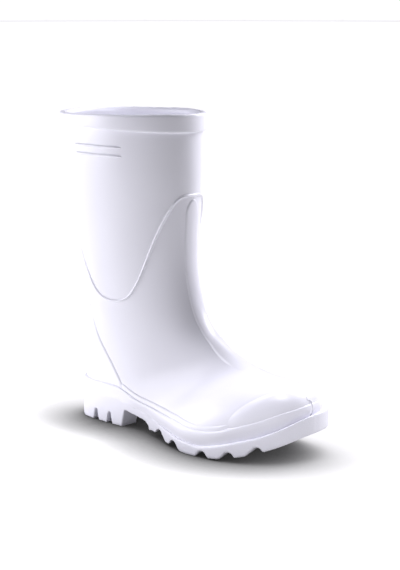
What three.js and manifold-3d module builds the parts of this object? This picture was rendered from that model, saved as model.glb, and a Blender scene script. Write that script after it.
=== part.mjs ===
// Rubber boot, right foot: a moulded white boot with a hollow upper, a cleated outsole and raised trim.
// Millimetres, +Z up, toe towards +X, wearer's right (outer) side towards -Y, outsole standing on z = 0.

import * as THREE from 'three';
import { mergeVertices } from 'three/addons/utils/BufferGeometryUtils.js';
import Module from 'manifold-3d';

// Driving dimensions of the boot.
const LENGTH = 298;          // outsole, back of the heel to the toe
const BALL_WIDTH = 115;      // outsole across the ball of the foot
const HEIGHT = 315;          // floor to the collar rim
const INSTEP_HEIGHT = 143;   // floor to where the instep turns up into the shaft
const COLLAR_LENGTH = 163;   // outside of the shaft at the collar, front to back
const COLLAR_WIDTH = 110;    // outside of the shaft at the collar, side to side
const COLLAR_TILT = 4;       // how much higher the rim is at the front than at the back
const WALL = 2.4;            // wall of the upper
const CLEARANCE = 0.3;       // gap between pieces that touch

// Driving dimensions of the sole.
const HEEL_HEIGHT = 29;      // top of the outsole at the heel
const BALL_THICKNESS = 10.5; // outsole at the ball, lugs included
const TOE_THICKNESS = 18.4;  // outsole at the toe bumper
const TOE_SPRING = 27.5;     // floor to the underside of the toe
const SPRING_TWIST = 0.18;   // the rise of the sole runs on further on the inner side
const ARCH_THICKNESS = 7.5;  // outsole under the arch
const HEEL_BREAST = 78;      // back of the heel to the foot of its front face
const BREAST_LEAN = 4;       // how far that face leans forward up to the arch
const LUG_START = 120;       // back of the heel to the first forefoot lug
const LUG_DEPTH = 6.5;       // depth of the gaps between the lugs
const LUG_GAP = 15;          // width of those gaps at the floor
const LUG_ANGLE = 20;        // degrees that each gap sweeps forward from the middle of the sole
const HEEL_SLOT_DEPTH = 12;  // depth of the slots in the heel
const HEEL_SLOT_WIDTH = 6;   // width of the slots in the heel
const HEEL_HOLLOW_WIDTH = 30;   // channel up the middle of the heel
const HEEL_HOLLOW_DEPTH = 18;   // height of that channel above the floor
const INSOLE_THICKNESS = 4;

// Driving dimensions of the raised trim.
const RAND_HEIGHT = 15;      // band round the foot, above the outsole
const RAND_THICKNESS = 2.6;
const STRIP_HEIGHT = 4;      // low step above the band, along each side of the foot
const STRIP_THICKNESS = 1.2;
const TOE_CAP_THICKNESS = 1.8;
const TOE_CAP_LENGTH = 28;   // toe back to the edge of the toe cap on top of the foot
const TOE_CAP_SWEEP = 38;    // how far that edge runs back at the sides
const BAND_HEIGHT = 14;      // collar band at the middle of the side
const BAND_THICKNESS = 2.4;
const PANEL_WIDTH = 17;      // raised strip down the shin and instep
const PANEL_THICKNESS = 1.2;
const PANEL_FLARE = 0.6;     // how much wider that strip gets towards its lower end
const PANEL_END_ROWS = 7;    // rows of the table left between that end and the toe
const PIPING_WIDTH = 4;
const PIPING_THICKNESS = 1.6;
const PIPING_LOW = 129;      // height of the piping at the middle of the side
const PIPING_HIGH = 238;     // height of the piping at the front and back
const COUNTER_RIB_WIDTH = 8;
const COUNTER_RIB_THICKNESS = 1.6;
const COUNTER_RIB_TOP = 122; // height of the heel rib at the back of the boot
const COUNTER_RIB_REACH = 77;   // back of the heel to the foot of that rib
const GRIP_RIB_LENGTH = 62;  // short ribs under the collar band
const GRIP_RIB_WIDTH = 4;
const GRIP_RIB_THICKNESS = 1.6;
const GRIP_RIB_DROP = 31;    // collar rim to the first of them
const GRIP_RIB_PITCH = 8.5;
const GRIP_RIB_PLACE = 0.258;   // share of the way round the shaft, from the back to their middles

// Fineness of the faceted surfaces.
const ROUND = 34;            // points round each section
const STEPS_PER_ROW = 1.4;   // sections made for each row of the tables
const OUTLINE_STEPS = 3;     // points made for each named point of the sole outline
const LAYER_STEPS = 30;      // points along each height curve of the sole

// Shaft sections, collar first. Back and front heights are shares of the shaft above the instep,
// centre is a share of LENGTH, long and wide are shares of the collar's length and width.
const SHAFT_ROWS = [
  { backUp: 1.000, frontUp: 1.000, centre: 0.210, long: 1.000, wide: 1.000, pear: -0.05 },
  { backUp: 0.826, frontUp: 0.837, centre: 0.212, long: 0.997, wide: 0.982, pear: -0.05 },
  { backUp: 0.622, frontUp: 0.645, centre: 0.219, long: 0.972, wide: 0.936, pear: -0.05 },
  { backUp: 0.419, frontUp: 0.459, centre: 0.227, long: 0.923, wide: 0.873, pear: -0.06 },
  { backUp: 0.215, frontUp: 0.285, centre: 0.239, long: 0.862, wide: 0.809, pear: -0.08 },
  { backUp: 0.041, frontUp: 0.134, centre: 0.254, long: 0.819, wide: 0.750, pear: -0.10 },
];

// Foot sections, ankle first. They turn from level to upright about the instep.
// back and front are shares of LENGTH, their heights are shares of INSTEP_HEIGHT,
// outer and inner are half widths as shares of BALL_WIDTH. heelFull and topFull shape the two halves
// of the section (2 is an ellipse, more is squarer), and pear moves its widest place towards the sole.
const FOOT_ROWS = [
  { back: 0.045, backUp: 0.874, front: 0.493, frontUp: 1.000, outer: 0.343, inner: 0.339,
    heelFull: 2.2, topFull: 2.00, pear: -0.12 },
  { back: 0.039, backUp: 0.713, front: 0.518, frontUp: 0.853, outer: 0.330, inner: 0.326,
    heelFull: 2.2, topFull: 2.05, pear: -0.15 },
  { back: 0.012, backUp: 0.524, front: 0.557, frontUp: 0.745, outer: 0.310, inner: 0.305,
    heelFull: 2.3, topFull: 2.10, pear: -0.20 },
  { back: 0.010, backUp: 0.315, front: 0.604, frontUp: 0.678, outer: 0.290, inner: 0.282,
    heelFull: 2.2, topFull: 2.10, pear: -0.25 },
  { back: 0.030, backUp: 0.140, front: 0.651, frontUp: 0.622, outer: 0.282, inner: 0.268,
    heelFull: 2.6, topFull: 2.10, pear: -0.30 },
  { back: 0.151, backUp: 0.091, front: 0.695, frontUp: 0.584, outer: 0.292, inner: 0.264,
    heelFull: 2.9, topFull: 2.10, pear: -0.32 },
  { back: 0.302, backUp: 0.084, front: 0.738, frontUp: 0.559, outer: 0.328, inner: 0.272,
    heelFull: 2.1, topFull: 2.10, pear: -0.34 },
  { back: 0.453, backUp: 0.056, front: 0.779, frontUp: 0.538, outer: 0.432, inner: 0.320,
    heelFull: 2.3, topFull: 2.10, pear: -0.35 },
  { back: 0.587, backUp: 0.021, front: 0.822, frontUp: 0.521, outer: 0.508, inner: 0.380,
    heelFull: 2.9, topFull: 2.10, pear: -0.35 },
  { back: 0.705, backUp: 0.014, front: 0.862, frontUp: 0.507, outer: 0.492, inner: 0.422,
    heelFull: 3.8, topFull: 2.20, pear: -0.35 },
  { back: 0.805, backUp: 0.056, front: 0.899, frontUp: 0.493, outer: 0.408, inner: 0.396,
    heelFull: 3.5, topFull: 2.30, pear: -0.33 },
  { back: 0.879, backUp: 0.112, front: 0.933, frontUp: 0.469, outer: 0.306, inner: 0.330,
    heelFull: 3.3, topFull: 2.40, pear: -0.30 },
  { back: 0.930, backUp: 0.168, front: 0.960, frontUp: 0.427, outer: 0.200, inner: 0.238,
    heelFull: 3.0, topFull: 2.50, pear: -0.20 },
  { back: 0.957, backUp: 0.224, front: 0.973, frontUp: 0.371, outer: 0.093, inner: 0.120,
    heelFull: 2.6, topFull: 2.50, pear: -0.10 },
  { back: 0.971, backUp: 0.294, front: 0.976, frontUp: 0.315, outer: 0.009, inner: 0.009,
    heelFull: 2.2, topFull: 2.20, pear: 0.00 },
];

// Outsole outline, once round from the back of the heel along the outer side.
// along is a share of LENGTH, side a share of BALL_WIDTH.
const OUTLINE = [
  { along: 0.000, side: 0.000 }, { along: 0.017, side: -0.157 }, { along: 0.060, side: -0.261 },
  { along: 0.121, side: -0.296 }, { along: 0.262, side: -0.313 }, { along: 0.386, side: -0.339 },
  { along: 0.503, side: -0.443 }, { along: 0.597, side: -0.522 }, { along: 0.688, side: -0.543 },
  { along: 0.772, side: -0.522 }, { along: 0.852, side: -0.443 }, { along: 0.923, side: -0.330 },
  { along: 0.977, side: -0.174 }, { along: 1.000, side: 0.000 }, { along: 0.990, side: 0.180 },
  { along: 0.950, side: 0.340 }, { along: 0.872, side: 0.417 }, { along: 0.785, side: 0.457 },
  { along: 0.698, side: 0.443 }, { along: 0.604, side: 0.391 }, { along: 0.503, side: 0.330 },
  { along: 0.396, side: 0.287 }, { along: 0.262, side: 0.287 }, { along: 0.121, side: 0.287 },
  { along: 0.060, side: 0.252 }, { along: 0.017, side: 0.148 },
];

// Heights along the sole. at is a share of LENGTH, the others are shares of TOE_SPRING, HEEL_HEIGHT,
// BALL_THICKNESS, TOE_THICKNESS and RAND_HEIGHT, added up to give the sole's top and the band's top.
const SOLE_ROWS = [
  { at: -0.10, spring: 0.00, heel: 1.00, ball: 0.00, toe: 0.00, rand: 0.73 },
  { at: 0.22, spring: 0.00, heel: 1.00, ball: 0.00, toe: 0.00, rand: 0.72 },
  { at: 0.31, spring: 0.00, heel: 0.79, ball: 0.05, toe: 0.00, rand: 0.56 },
  { at: 0.40, spring: 0.22, heel: 0.35, ball: 0.33, toe: 0.00, rand: 0.60 },
  { at: 0.48, spring: 0.11, heel: 0.14, ball: 0.81, toe: 0.00, rand: 0.80 },
  { at: 0.54, spring: 0.03, heel: 0.05, ball: 1.00, toe: 0.00, rand: 0.96 },
  { at: 0.58, spring: 0.00, heel: 0.03, ball: 1.00, toe: 0.00, rand: 0.98 },
  { at: 0.66, spring: 0.00, heel: 0.00, ball: 1.00, toe: 0.00, rand: 1.00 },
  { at: 0.73, spring: 0.06, heel: 0.00, ball: 0.90, toe: 0.19, rand: 0.92 },
  { at: 0.80, spring: 0.20, heel: 0.00, ball: 0.60, toe: 0.46, rand: 0.99 },
  { at: 0.87, spring: 0.41, heel: 0.00, ball: 0.30, toe: 0.65, rand: 1.05 },
  { at: 0.93, spring: 0.66, heel: 0.00, ball: 0.10, toe: 0.84, rand: 1.01 },
  { at: 1.00, spring: 1.00, heel: 0.00, ball: 0.00, toe: 1.00, rand: 0.72 },
  { at: 1.10, spring: 1.10, heel: 0.00, ball: 0.00, toe: 1.02, rand: 0.75 },
];

// Heel rib seen from the side: run is a share of COUNTER_RIB_REACH, up a share of its rise above the band.
const COUNTER_LINE = [
  { run: -0.30, up: 1.03 }, { run: 0.10, up: 1.00 }, { run: 0.24, up: 0.93 }, { run: 0.42, up: 0.78 },
  { run: 0.62, up: 0.50 }, { run: 0.80, up: 0.26 }, { run: 1.02, up: -0.05 },
];

// Middles of the gaps between the lugs and of the slots in the heel, as shares of LENGTH.
const LUG_GAPS = [0.466, 0.548, 0.683, 0.785, 0.883];
const HEEL_SLOTS = [0.129, 0.198];

const wasm = await Module();
wasm.setup();

// Smooth value of one column of a table between its rows, row 0 at t = 0.
function column(rows, name, t) {
  const last = rows.length - 1;
  const place = Math.min(Math.max(t, 0), last);
  const i = Math.min(Math.floor(place), last - 1);
  const f = place - i;
  const here = rows[i][name];
  const next = rows[i + 1][name];
  const before = i > 0 ? rows[i - 1][name] : 2 * here - next;
  const after = i + 2 <= last ? rows[i + 2][name] : 2 * next - here;
  const slope = next - before;
  const square = 2 * before - 5 * here + 4 * next - after;
  const cube = 3 * here - before - 3 * next + after;
  return 0.5 * (2 * here + slope * f + square * f * f + cube * f ** 3);
}

// Value of one column of a table whose rows are placed by their at column.
function columnAt(rows, name, at) {
  let i = 0;
  while (i < rows.length - 2 && rows[i + 1].at < at) i += 1;
  return column(rows, name, i + (at - rows[i].at) / (rows[i + 1].at - rows[i].at));
}

// Sections of the upper in millimetres: the shaft's, then the foot's.
const shaftHeight = HEIGHT - INSTEP_HEIGHT;
const shaftSections = SHAFT_ROWS.map((row) => ({
  backX: row.centre * LENGTH - (row.long * COLLAR_LENGTH) / 2,
  backZ: INSTEP_HEIGHT + row.backUp * shaftHeight,
  frontX: row.centre * LENGTH + (row.long * COLLAR_LENGTH) / 2,
  frontZ: INSTEP_HEIGHT + row.frontUp * shaftHeight,
  outer: (row.wide * COLLAR_WIDTH) / 2,
  inner: (row.wide * COLLAR_WIDTH) / 2,
  heelFull: 2.2,
  topFull: 2.0,
  pear: row.pear,
}));
const footSections = FOOT_ROWS.map((row) => ({
  backX: row.back * LENGTH,
  backZ: row.backUp * INSTEP_HEIGHT,
  frontX: row.front * LENGTH,
  frontZ: row.frontUp * INSTEP_HEIGHT,
  outer: row.outer * BALL_WIDTH,
  inner: row.inner * BALL_WIDTH,
  heelFull: row.heelFull,
  topFull: row.topFull,
  pear: row.pear,
}));
const SECTIONS = [...shaftSections, ...footSections];
const LAST = SECTIONS.length - 1;

// Point of the upper's outer surface: t runs from the collar to the toe, v once round each section,
// 0 at the back or underside, 0.25 at the outer side, 0.5 at the front or top.
function surfacePoint(t, v) {
  const s = {};
  for (const name of Object.keys(SECTIONS[0])) s[name] = column(SECTIONS, name, t);
  const angle = 2 * Math.PI * v;
  const toFront = -Math.cos(angle);
  const toSide = Math.sin(angle);
  const power = 2 / (toFront < 0 ? s.heelFull : s.topFull);
  const along = Math.sign(toFront) * Math.abs(toFront) ** power;
  const across = Math.sign(toSide) * Math.abs(toSide) ** power;
  const share = (1 + along + s.pear * (1 - along * along)) / 2;
  return new THREE.Vector3(
    s.backX + (s.frontX - s.backX) * share,
    -(toSide > 0 ? s.outer : s.inner) * across,
    s.backZ + (s.frontZ - s.backZ) * share,
  );
}

// Outward direction of that surface.
function surfaceNormal(t, v) {
  const dt = 0.02;
  const dv = 0.004;
  const inside = Math.min(Math.max(t, dt), LAST - 2 * dt);
  const along = surfacePoint(inside + dt, v).sub(surfacePoint(inside - dt, v));
  const round = surfacePoint(inside, v + dv).sub(surfacePoint(inside, v - dv));
  return along.cross(round).normalize();
}

function offsetPoint(t, v, offset) {
  return surfacePoint(t, v).addScaledVector(surfaceNormal(t, v), offset);
}

// Closed geometry from rings of points, each ring in the same order, with a flat fan at both ends.
function skinRings(rings) {
  const count = rings[0].length;
  const positions = rings.flat().flatMap((p) => [p.x, p.y, p.z]);
  const middle = (ring) => ring.reduce((sum, p) => sum.add(p), new THREE.Vector3()).divideScalar(count);
  const first = middle(rings[0]);
  const final = middle(rings[rings.length - 1]);
  positions.push(first.x, first.y, first.z, final.x, final.y, final.z);
  const firstIndex = rings.length * count;
  const faces = [];
  for (let i = 0; i < rings.length - 1; i += 1) {
    for (let j = 0; j < count; j += 1) {
      const a = i * count + j;
      const b = i * count + ((j + 1) % count);
      faces.push(a, a + count, b, b, a + count, b + count);
    }
  }
  const base = (rings.length - 1) * count;
  for (let j = 0; j < count; j += 1) {
    const k = (j + 1) % count;
    faces.push(firstIndex, j, k, firstIndex + 1, base + k, base + j);
  }
  const geometry = new THREE.BufferGeometry();
  geometry.setAttribute('position', new THREE.Float32BufferAttribute(positions, 3));
  geometry.setIndex(faces);
  return geometry;
}

// Solid of a closed geometry, keeping nothing but its places.
function solidOf(geometry) {
  geometry.deleteAttribute('normal');
  geometry.deleteAttribute('uv');
  const merged = mergeVertices(geometry, 1e-4);
  return new wasm.Manifold(new wasm.Mesh({
    numProp: 3,
    vertProperties: new Float32Array(merged.attributes.position.array),
    triVerts: new Uint32Array(merged.index.array),
  }));
}

// Whole boot form at an offset from the upper's outer surface, run on above the collar.
function bootForm(offset) {
  const steps = Math.round(LAST * STEPS_PER_ROW);
  const rings = [];
  for (let i = 0; i <= steps; i += 1) {
    const t = (LAST * i) / steps;
    const ring = [];
    for (let j = 0; j < ROUND; j += 1) ring.push(offsetPoint(t, j / ROUND, offset));
    rings.push(ring);
  }
  const above = rings[0].map((p) => p.clone().add(new THREE.Vector3(0, 0, COLLAR_TILT * 3)));
  return solidOf(skinRings([above, ...rings]));
}

// Skin of the boot form between two offsets.
function bootSkin(inside, outside) {
  return bootForm(outside).subtract(bootForm(inside));
}

// Prism of a side view outline, given as x and z, through the whole width of the boot.
function sidePrism(points, from = -BALL_WIDTH, to = BALL_WIDTH, twist = 0) {
  const shape = new THREE.Shape(points.map(([x, z]) => new THREE.Vector2(x, z)));
  const geometry = new THREE.ExtrudeGeometry(shape, { depth: to - from, bevelEnabled: false });
  geometry.rotateX(Math.PI / 2);
  geometry.translate(0, to, 0);
  geometry.applyMatrix4(new THREE.Matrix4().makeShear(0, 0, -twist, 0, 0, 0));
  return solidOf(geometry);
}

// Prism of a plan outline, given as x and y, between two heights.
function planPrism(points, from, to) {
  const shape = new THREE.Shape(points.map(([x, y]) => new THREE.Vector2(x, y)));
  const geometry = new THREE.ExtrudeGeometry(shape, { depth: to - from, bevelEnabled: false });
  geometry.translate(0, 0, from);
  return solidOf(geometry);
}

// Heights of the sole's top and of the band's top at a share of the length.
function soleTop(at) {
  return columnAt(SOLE_ROWS, 'spring', at) * TOE_SPRING + columnAt(SOLE_ROWS, 'heel', at) * HEEL_HEIGHT
    + columnAt(SOLE_ROWS, 'ball', at) * BALL_THICKNESS + columnAt(SOLE_ROWS, 'toe', at) * TOE_THICKNESS;
}

function randTop(at) {
  return soleTop(at) + columnAt(SOLE_ROWS, 'rand', at) * RAND_HEIGHT;
}

// Everything between two height curves along the boot.
function layer(lower, upper) {
  const start = SOLE_ROWS[0].at;
  const end = SOLE_ROWS[SOLE_ROWS.length - 1].at;
  const low = [];
  const high = [];
  for (let i = 0; i <= LAYER_STEPS; i += 1) {
    const at = start + ((end - start) * i) / LAYER_STEPS;
    low.push([at * LENGTH, lower(at)]);
    high.push([at * LENGTH, upper(at)]);
  }
  return sidePrism([...low, ...high.reverse()], -BALL_WIDTH, BALL_WIDTH, SPRING_TWIST);
}

// Points of a closed smooth line through the outline's named points.
function outlinePoints() {
  const corners = OUTLINE.map((p) => new THREE.Vector3(p.along * LENGTH, p.side * BALL_WIDTH, 0));
  const curve = new THREE.CatmullRomCurve3(corners, true, 'centripetal');
  return curve.getPoints(corners.length * OUTLINE_STEPS).slice(0, -1).map((p) => [p.x, p.y]);
}

// Height of the sole's underside at a share of the length, before lugs and slots are cut.
function soleUnder(at) {
  return Math.max(0, columnAt(SOLE_ROWS, 'spring', at)) * TOE_SPRING;
}

// Outsole: heel, arch and forefoot in one, with lugs, heel slots and a hollow heel.
function makeOutsole() {
  const body = layer(soleUnder, soleTop).intersect(planPrism(outlinePoints(), -HEEL_HEIGHT, HEIGHT));
  const cuts = [archVoid(), heelHollow()];
  for (const share of LUG_GAPS) {
    for (const side of [-1, 1]) cuts.push(lugGap(share, side));
  }
  for (const share of HEEL_SLOTS) {
    cuts.push(sidePrism(slotOutline(share * LENGTH, HEEL_SLOT_WIDTH, HEEL_SLOT_DEPTH, 0)));
  }
  return cuts.reduce((solid, cut) => solid.subtract(cut), body);
}

// Space under the arch, from the heel's front face to the first lug.
function archVoid() {
  const steps = 8;
  const roof = [];
  for (let i = 0; i <= steps; i += 1) {
    const start = HEEL_BREAST + BREAST_LEAN;
    const x = start + ((LUG_START - start) * i) / steps;
    const easeToLug = Math.min(1, 0.72 + (steps - i) / 5);
    roof.push([x, easeToLug * (soleTop(x / LENGTH) - ARCH_THICKNESS)]);
  }
  return sidePrism([[LUG_START, -HEEL_HEIGHT], ...roof.reverse(), [HEEL_BREAST, 0],
    [HEEL_BREAST, -HEEL_HEIGHT]]);
}

// Channel up the middle of the heel, open at its front face.
function heelHollow() {
  const half = HEEL_HOLLOW_WIDTH / 2;
  const back = HEEL_SLOTS[0] * LENGTH - HEEL_SLOT_WIDTH;
  const front = HEEL_BREAST + BREAST_LEAN + CLEARANCE;
  const corners = [[back, -half], [front, -half], [front, half], [back, half]];
  return planPrism(corners, -HEEL_HEIGHT, HEEL_HOLLOW_DEPTH);
}

// Side view outline of a slot across the sole at x, given its width at the floor, narrower at its top.
function slotOutline(x, width, depth, floor) {
  const flare = 0.22 * width;
  const half = width / 2;
  return [[x - half - 2 * flare, floor - 2 * depth], [x + half + 2 * flare, floor - 2 * depth],
    [x + half - flare, floor + depth], [x - half + flare, floor + depth]];
}

// Gap between two lugs on one side of the sole, swept forward from the middle.
function lugGap(share, side) {
  const edge = side * BALL_WIDTH / 3;
  const floor = soleUnder(share + (SPRING_TWIST * edge) / LENGTH);
  const corners = slotOutline(0, LUG_GAP, LUG_DEPTH, floor);
  const shape = new THREE.Shape(corners.map(([x, z]) => new THREE.Vector2(x, z)));
  const geometry = new THREE.ExtrudeGeometry(shape, { depth: BALL_WIDTH, bevelEnabled: false });
  geometry.rotateX(Math.PI / 2);
  if (side > 0) geometry.translate(0, BALL_WIDTH, 0);
  const sweep = Math.tan(THREE.MathUtils.degToRad(LUG_ANGLE));
  geometry.rotateZ(-Math.atan(side * sweep));
  geometry.translate(share * LENGTH - Math.abs(edge) * sweep, 0, 0);
  return solidOf(geometry);
}

// Upper: one hollow wall, open at the collar and underneath.
function makeUpper() {
  const rim = collarCut(0, 0);
  const under = layer(() => -HEIGHT, (at) => soleTop(at) + CLEARANCE);
  return bootForm(0).subtract(bootForm(-WALL)).subtract(under).subtract(rim);
}

// Everything above a slanted line across the collar. drop lowers it all, tilt adds to the front's drop.
function collarCut(drop, tilt) {
  const back = SECTIONS[0].backX;
  const front = SECTIONS[0].frontX;
  const reach = COLLAR_LENGTH / 4;
  const slope = (COLLAR_TILT - tilt) / (front - back);
  const height = (x) => HEIGHT - drop + slope * (x - (back + front) / 2);
  return sidePrism([[back - reach, height(back - reach)], [front + reach, height(front + reach)],
    [front + reach, HEIGHT * 2], [back - reach, HEIGHT * 2]]);
}

function makeInsole() {
  const slab = layer((at) => soleTop(at) + CLEARANCE, (at) => soleTop(at) + CLEARANCE + INSOLE_THICKNESS);
  return bootForm(-WALL - CLEARANCE).intersect(slab);
}

function makeRand() {
  const height = layer((at) => soleTop(at) + CLEARANCE, randTop);
  return bootSkin(CLEARANCE, CLEARANCE + RAND_THICKNESS).intersect(height);
}

// Side view line of the heel rib's middle, from the back of the boot down to the band.
function counterLine() {
  const foot = randTop(COUNTER_RIB_REACH / LENGTH);
  const corners = COUNTER_LINE.map(({ run, up }) => new THREE.Vector3(
    run * COUNTER_RIB_REACH,
    foot + up * (COUNTER_RIB_TOP - foot),
    0,
  ));
  return new THREE.CatmullRomCurve3(corners, false, 'centripetal').getPoints(18).map((p) => [p.x, p.y]);
}

// Side view band of a given width about a line.
function bandAbout(line, width) {
  const shifted = (side) => line.map(([x, z], i) => {
    const before = line[Math.max(i - 1, 0)];
    const after = line[Math.min(i + 1, line.length - 1)];
    const run = Math.hypot(after[0] - before[0], after[1] - before[1]);
    return [x - (side * (after[1] - before[1]) * width) / (2 * run),
      z + (side * (after[0] - before[0]) * width) / (2 * run)];
  });
  return [...shifted(1), ...shifted(-1).reverse()];
}

function makeCounterRib() {
  const band = sidePrism(bandAbout(counterLine(), COUNTER_RIB_WIDTH));
  const low = layer(() => -HEIGHT, (at) => randTop(at) + CLEARANCE);
  return bootSkin(CLEARANCE, CLEARANCE + COUNTER_RIB_THICKNESS).intersect(band).subtract(low);
}

// Plan outline of the toe cap: its edge crosses the top of the foot and sweeps back at both sides.
function toeCapPlan(gap) {
  const half = BALL_WIDTH / 2;
  const edge = [];
  for (let i = -8; i <= 8; i += 1) {
    const side = i / 8;
    const back = TOE_CAP_SWEEP * Math.max(0, Math.abs(side) - 0.22) ** 1.35 / 0.78 ** 1.35;
    edge.push([LENGTH - TOE_CAP_LENGTH + gap - back * 1.05, side * half]);
  }
  return [...edge, [LENGTH + half, half], [LENGTH + half, -half]];
}

function makeToeCap() {
  const above = layer((at) => randTop(at) + CLEARANCE, () => INSTEP_HEIGHT);
  const plan = planPrism(toeCapPlan(0), 0, INSTEP_HEIGHT);
  return bootSkin(CLEARANCE, CLEARANCE + TOE_CAP_THICKNESS).intersect(above).intersect(plan);
}

// Low step above the band on one side, from the heel rib to the toe cap.
function makeFootStrip(side) {
  const height = layer((at) => randTop(at) + CLEARANCE, (at) => randTop(at) + STRIP_HEIGHT);
  const from = Math.min(0, side * BALL_WIDTH);
  const rib = bandAbout(counterLine(), COUNTER_RIB_WIDTH + 2 * CLEARANCE);
  const half = rib.length / 2;
  const start = [...rib.slice(0, half), [COUNTER_RIB_REACH * 2, 0], [LENGTH, 0], [LENGTH, HEIGHT / 2]];
  const window = sidePrism(start, from, from + BALL_WIDTH);
  return bootSkin(CLEARANCE, CLEARANCE + STRIP_THICKNESS).intersect(height).intersect(window)
    .subtract(planPrism(toeCapPlan(-CLEARANCE), 0, HEIGHT));
}

// Raised strip down the shin and instep, with a round top, fading out before the toe cap.
function makeFrontPanel() {
  const half = PANEL_WIDTH / 2;
  const start = rowAt(0.5, pipingHeight(0.5) - PIPING_WIDTH);
  const end = LAST - PANEL_END_ROWS;
  const steps = 24;
  const rings = [];
  for (let i = 0; i <= steps; i += 1) {
    const share = i / steps;
    const t = start + (end - start) * share;
    const rounding = roundEnd(share * 9) * roundEnd((1 - share) * 6);
    const spread = half * rounding * (1 + PANEL_FLARE * Math.max(0, share - 0.5) * 2);
    rings.push(curtainRing(t, spread));
  }
  return bootSkin(CLEARANCE, CLEARANCE + PANEL_THICKNESS).intersect(solidOf(skinRings(rings)));
}

// Share of full width at a distance from a round end, 0 at the end and 1 past it.
function roundEnd(distance) {
  return Math.sqrt(1 - (1 - Math.min(1, 0.01 + distance)) ** 2);
}

// Upright ring across the front of the boot at row place t, reaching in and out of its surface.
function curtainRing(t, spread) {
  const middle = surfacePoint(t, 0.5);
  const out = surfaceNormal(t, 0.5);
  const reach = 4 * (CLEARANCE + PANEL_THICKNESS);
  return [[1, -2], [-1, -2], [-1, 1], [1, 1]].map(([side, rise]) => middle.clone()
    .add(new THREE.Vector3(0, side * spread, 0)).addScaledVector(out, rise * reach));
}

// Row place t where the surface has a given height at v.
function rowAt(v, height) {
  let low = 0;
  let high = SHAFT_ROWS.length + 2;
  for (let i = 0; i < 40; i += 1) {
    const middle = (low + high) / 2;
    if (surfacePoint(middle, v).z > height) low = middle;
    else high = middle;
  }
  return (low + high) / 2;
}

// Height of the shaft's piping at v: low at the sides, high at front and back.
function pipingHeight(v) {
  const away = Math.abs(Math.abs(v - 0.5) - 0.25) / 0.25;
  const front = Math.abs(v - 0.5) < 0.25;
  const eased = THREE.MathUtils.smoothstep(away, 0, front ? 0.85 : 1) ** (front ? 1.3 : 1.5);
  return PIPING_LOW + (PIPING_HIGH - PIPING_LOW) * eased;
}

// Raised bead along a line on the surface, given as a list of [t, v] places.
function beadAlong(places, width, height, closed) {
  const count = places.length;
  const rings = places.map(([t, v], i) => {
    const before = places[closed ? (i - 1 + count) % count : Math.max(i - 1, 0)];
    const after = places[closed ? (i + 1) % count : Math.min(i + 1, count - 1)];
    const run = surfacePoint(after[0], after[1]).sub(surfacePoint(before[0], before[1])).normalize();
    const up = surfaceNormal(t, v);
    const side = up.clone().cross(run).normalize();
    const base = surfacePoint(t, v);
    const profile = [[-0.5, 0], [-0.36, 0.75], [0, 1], [0.36, 0.75], [0.5, 0]];
    return profile.map(([across, rise]) => base.clone().addScaledVector(side, across * width)
      .addScaledVector(up, CLEARANCE + rise * height));
  });
  return closed ? ringSolid(rings) : solidOf(skinRings(rings));
}

// Closed loop of rings without ends.
function ringSolid(rings) {
  const count = rings[0].length;
  const total = rings.length;
  const positions = rings.flat().flatMap((p) => [p.x, p.y, p.z]);
  const faces = [];
  for (let i = 0; i < total; i += 1) {
    const next = ((i + 1) % total) * count;
    for (let j = 0; j < count; j += 1) {
      const a = i * count + j;
      const b = i * count + ((j + 1) % count);
      const c = next + j;
      const d = next + ((j + 1) % count);
      faces.push(a, c, b, b, c, d);
    }
  }
  const geometry = new THREE.BufferGeometry();
  geometry.setAttribute('position', new THREE.Float32BufferAttribute(positions, 3));
  geometry.setIndex(faces);
  return solidOf(geometry);
}

function makePiping() {
  const places = [];
  const steps = 64;
  for (let i = 0; i < steps; i += 1) {
    const v = i / steps;
    places.push([rowAt(v, pipingHeight(v)), v]);
  }
  return beadAlong(places, PIPING_WIDTH, PIPING_THICKNESS, true);
}

// Short rib below the collar band on one side.
function makeGripRib(side, row) {
  const height = HEIGHT - GRIP_RIB_DROP - row * GRIP_RIB_PITCH;
  const reach = GRIP_RIB_LENGTH / (Math.PI * COLLAR_LENGTH);
  const places = [];
  const steps = 10;
  for (let i = 0; i <= steps; i += 1) {
    const v = GRIP_RIB_PLACE + reach * (i / steps - 0.5);
    const around = side < 0 ? v : 1 - v;
    places.push([rowAt(around, height), around]);
  }
  return beadAlong(places, GRIP_RIB_WIDTH, GRIP_RIB_THICKNESS, false);
}

function makeCollarBand() {
  const above = collarCut(0, 0);
  const kept = collarCut(BAND_HEIGHT, 2 * COLLAR_TILT);
  return bootSkin(CLEARANCE, CLEARANCE + BAND_THICKNESS).intersect(kept).subtract(above);
}

// Materials: soft white moulded rubber, a little greyer on the sole.
const white = (color, roughness) => new THREE.MeshStandardMaterial({ color, roughness, metalness: 0 });
const finishes = {
  upper: () => white(0xf2f1f5, 0.42),
  trim: () => white(0xeeedf2, 0.45),
  sole: () => white(0xe9e8ee, 0.5),
  insole: () => white(0xd9d8dc, 0.85),
};

// Named mesh of a solid.
function makeMesh(name, solid, finish) {
  const mesh = solid.getMesh();
  const geometry = new THREE.BufferGeometry();
  geometry.setAttribute('position', new THREE.Float32BufferAttribute(mesh.vertProperties, 3));
  geometry.setIndex(new THREE.Uint32BufferAttribute(mesh.triVerts, 1));
  geometry.computeVertexNormals();
  const result = new THREE.Mesh(geometry, finishes[finish]());
  result.name = name;
  return result;
}

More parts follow.
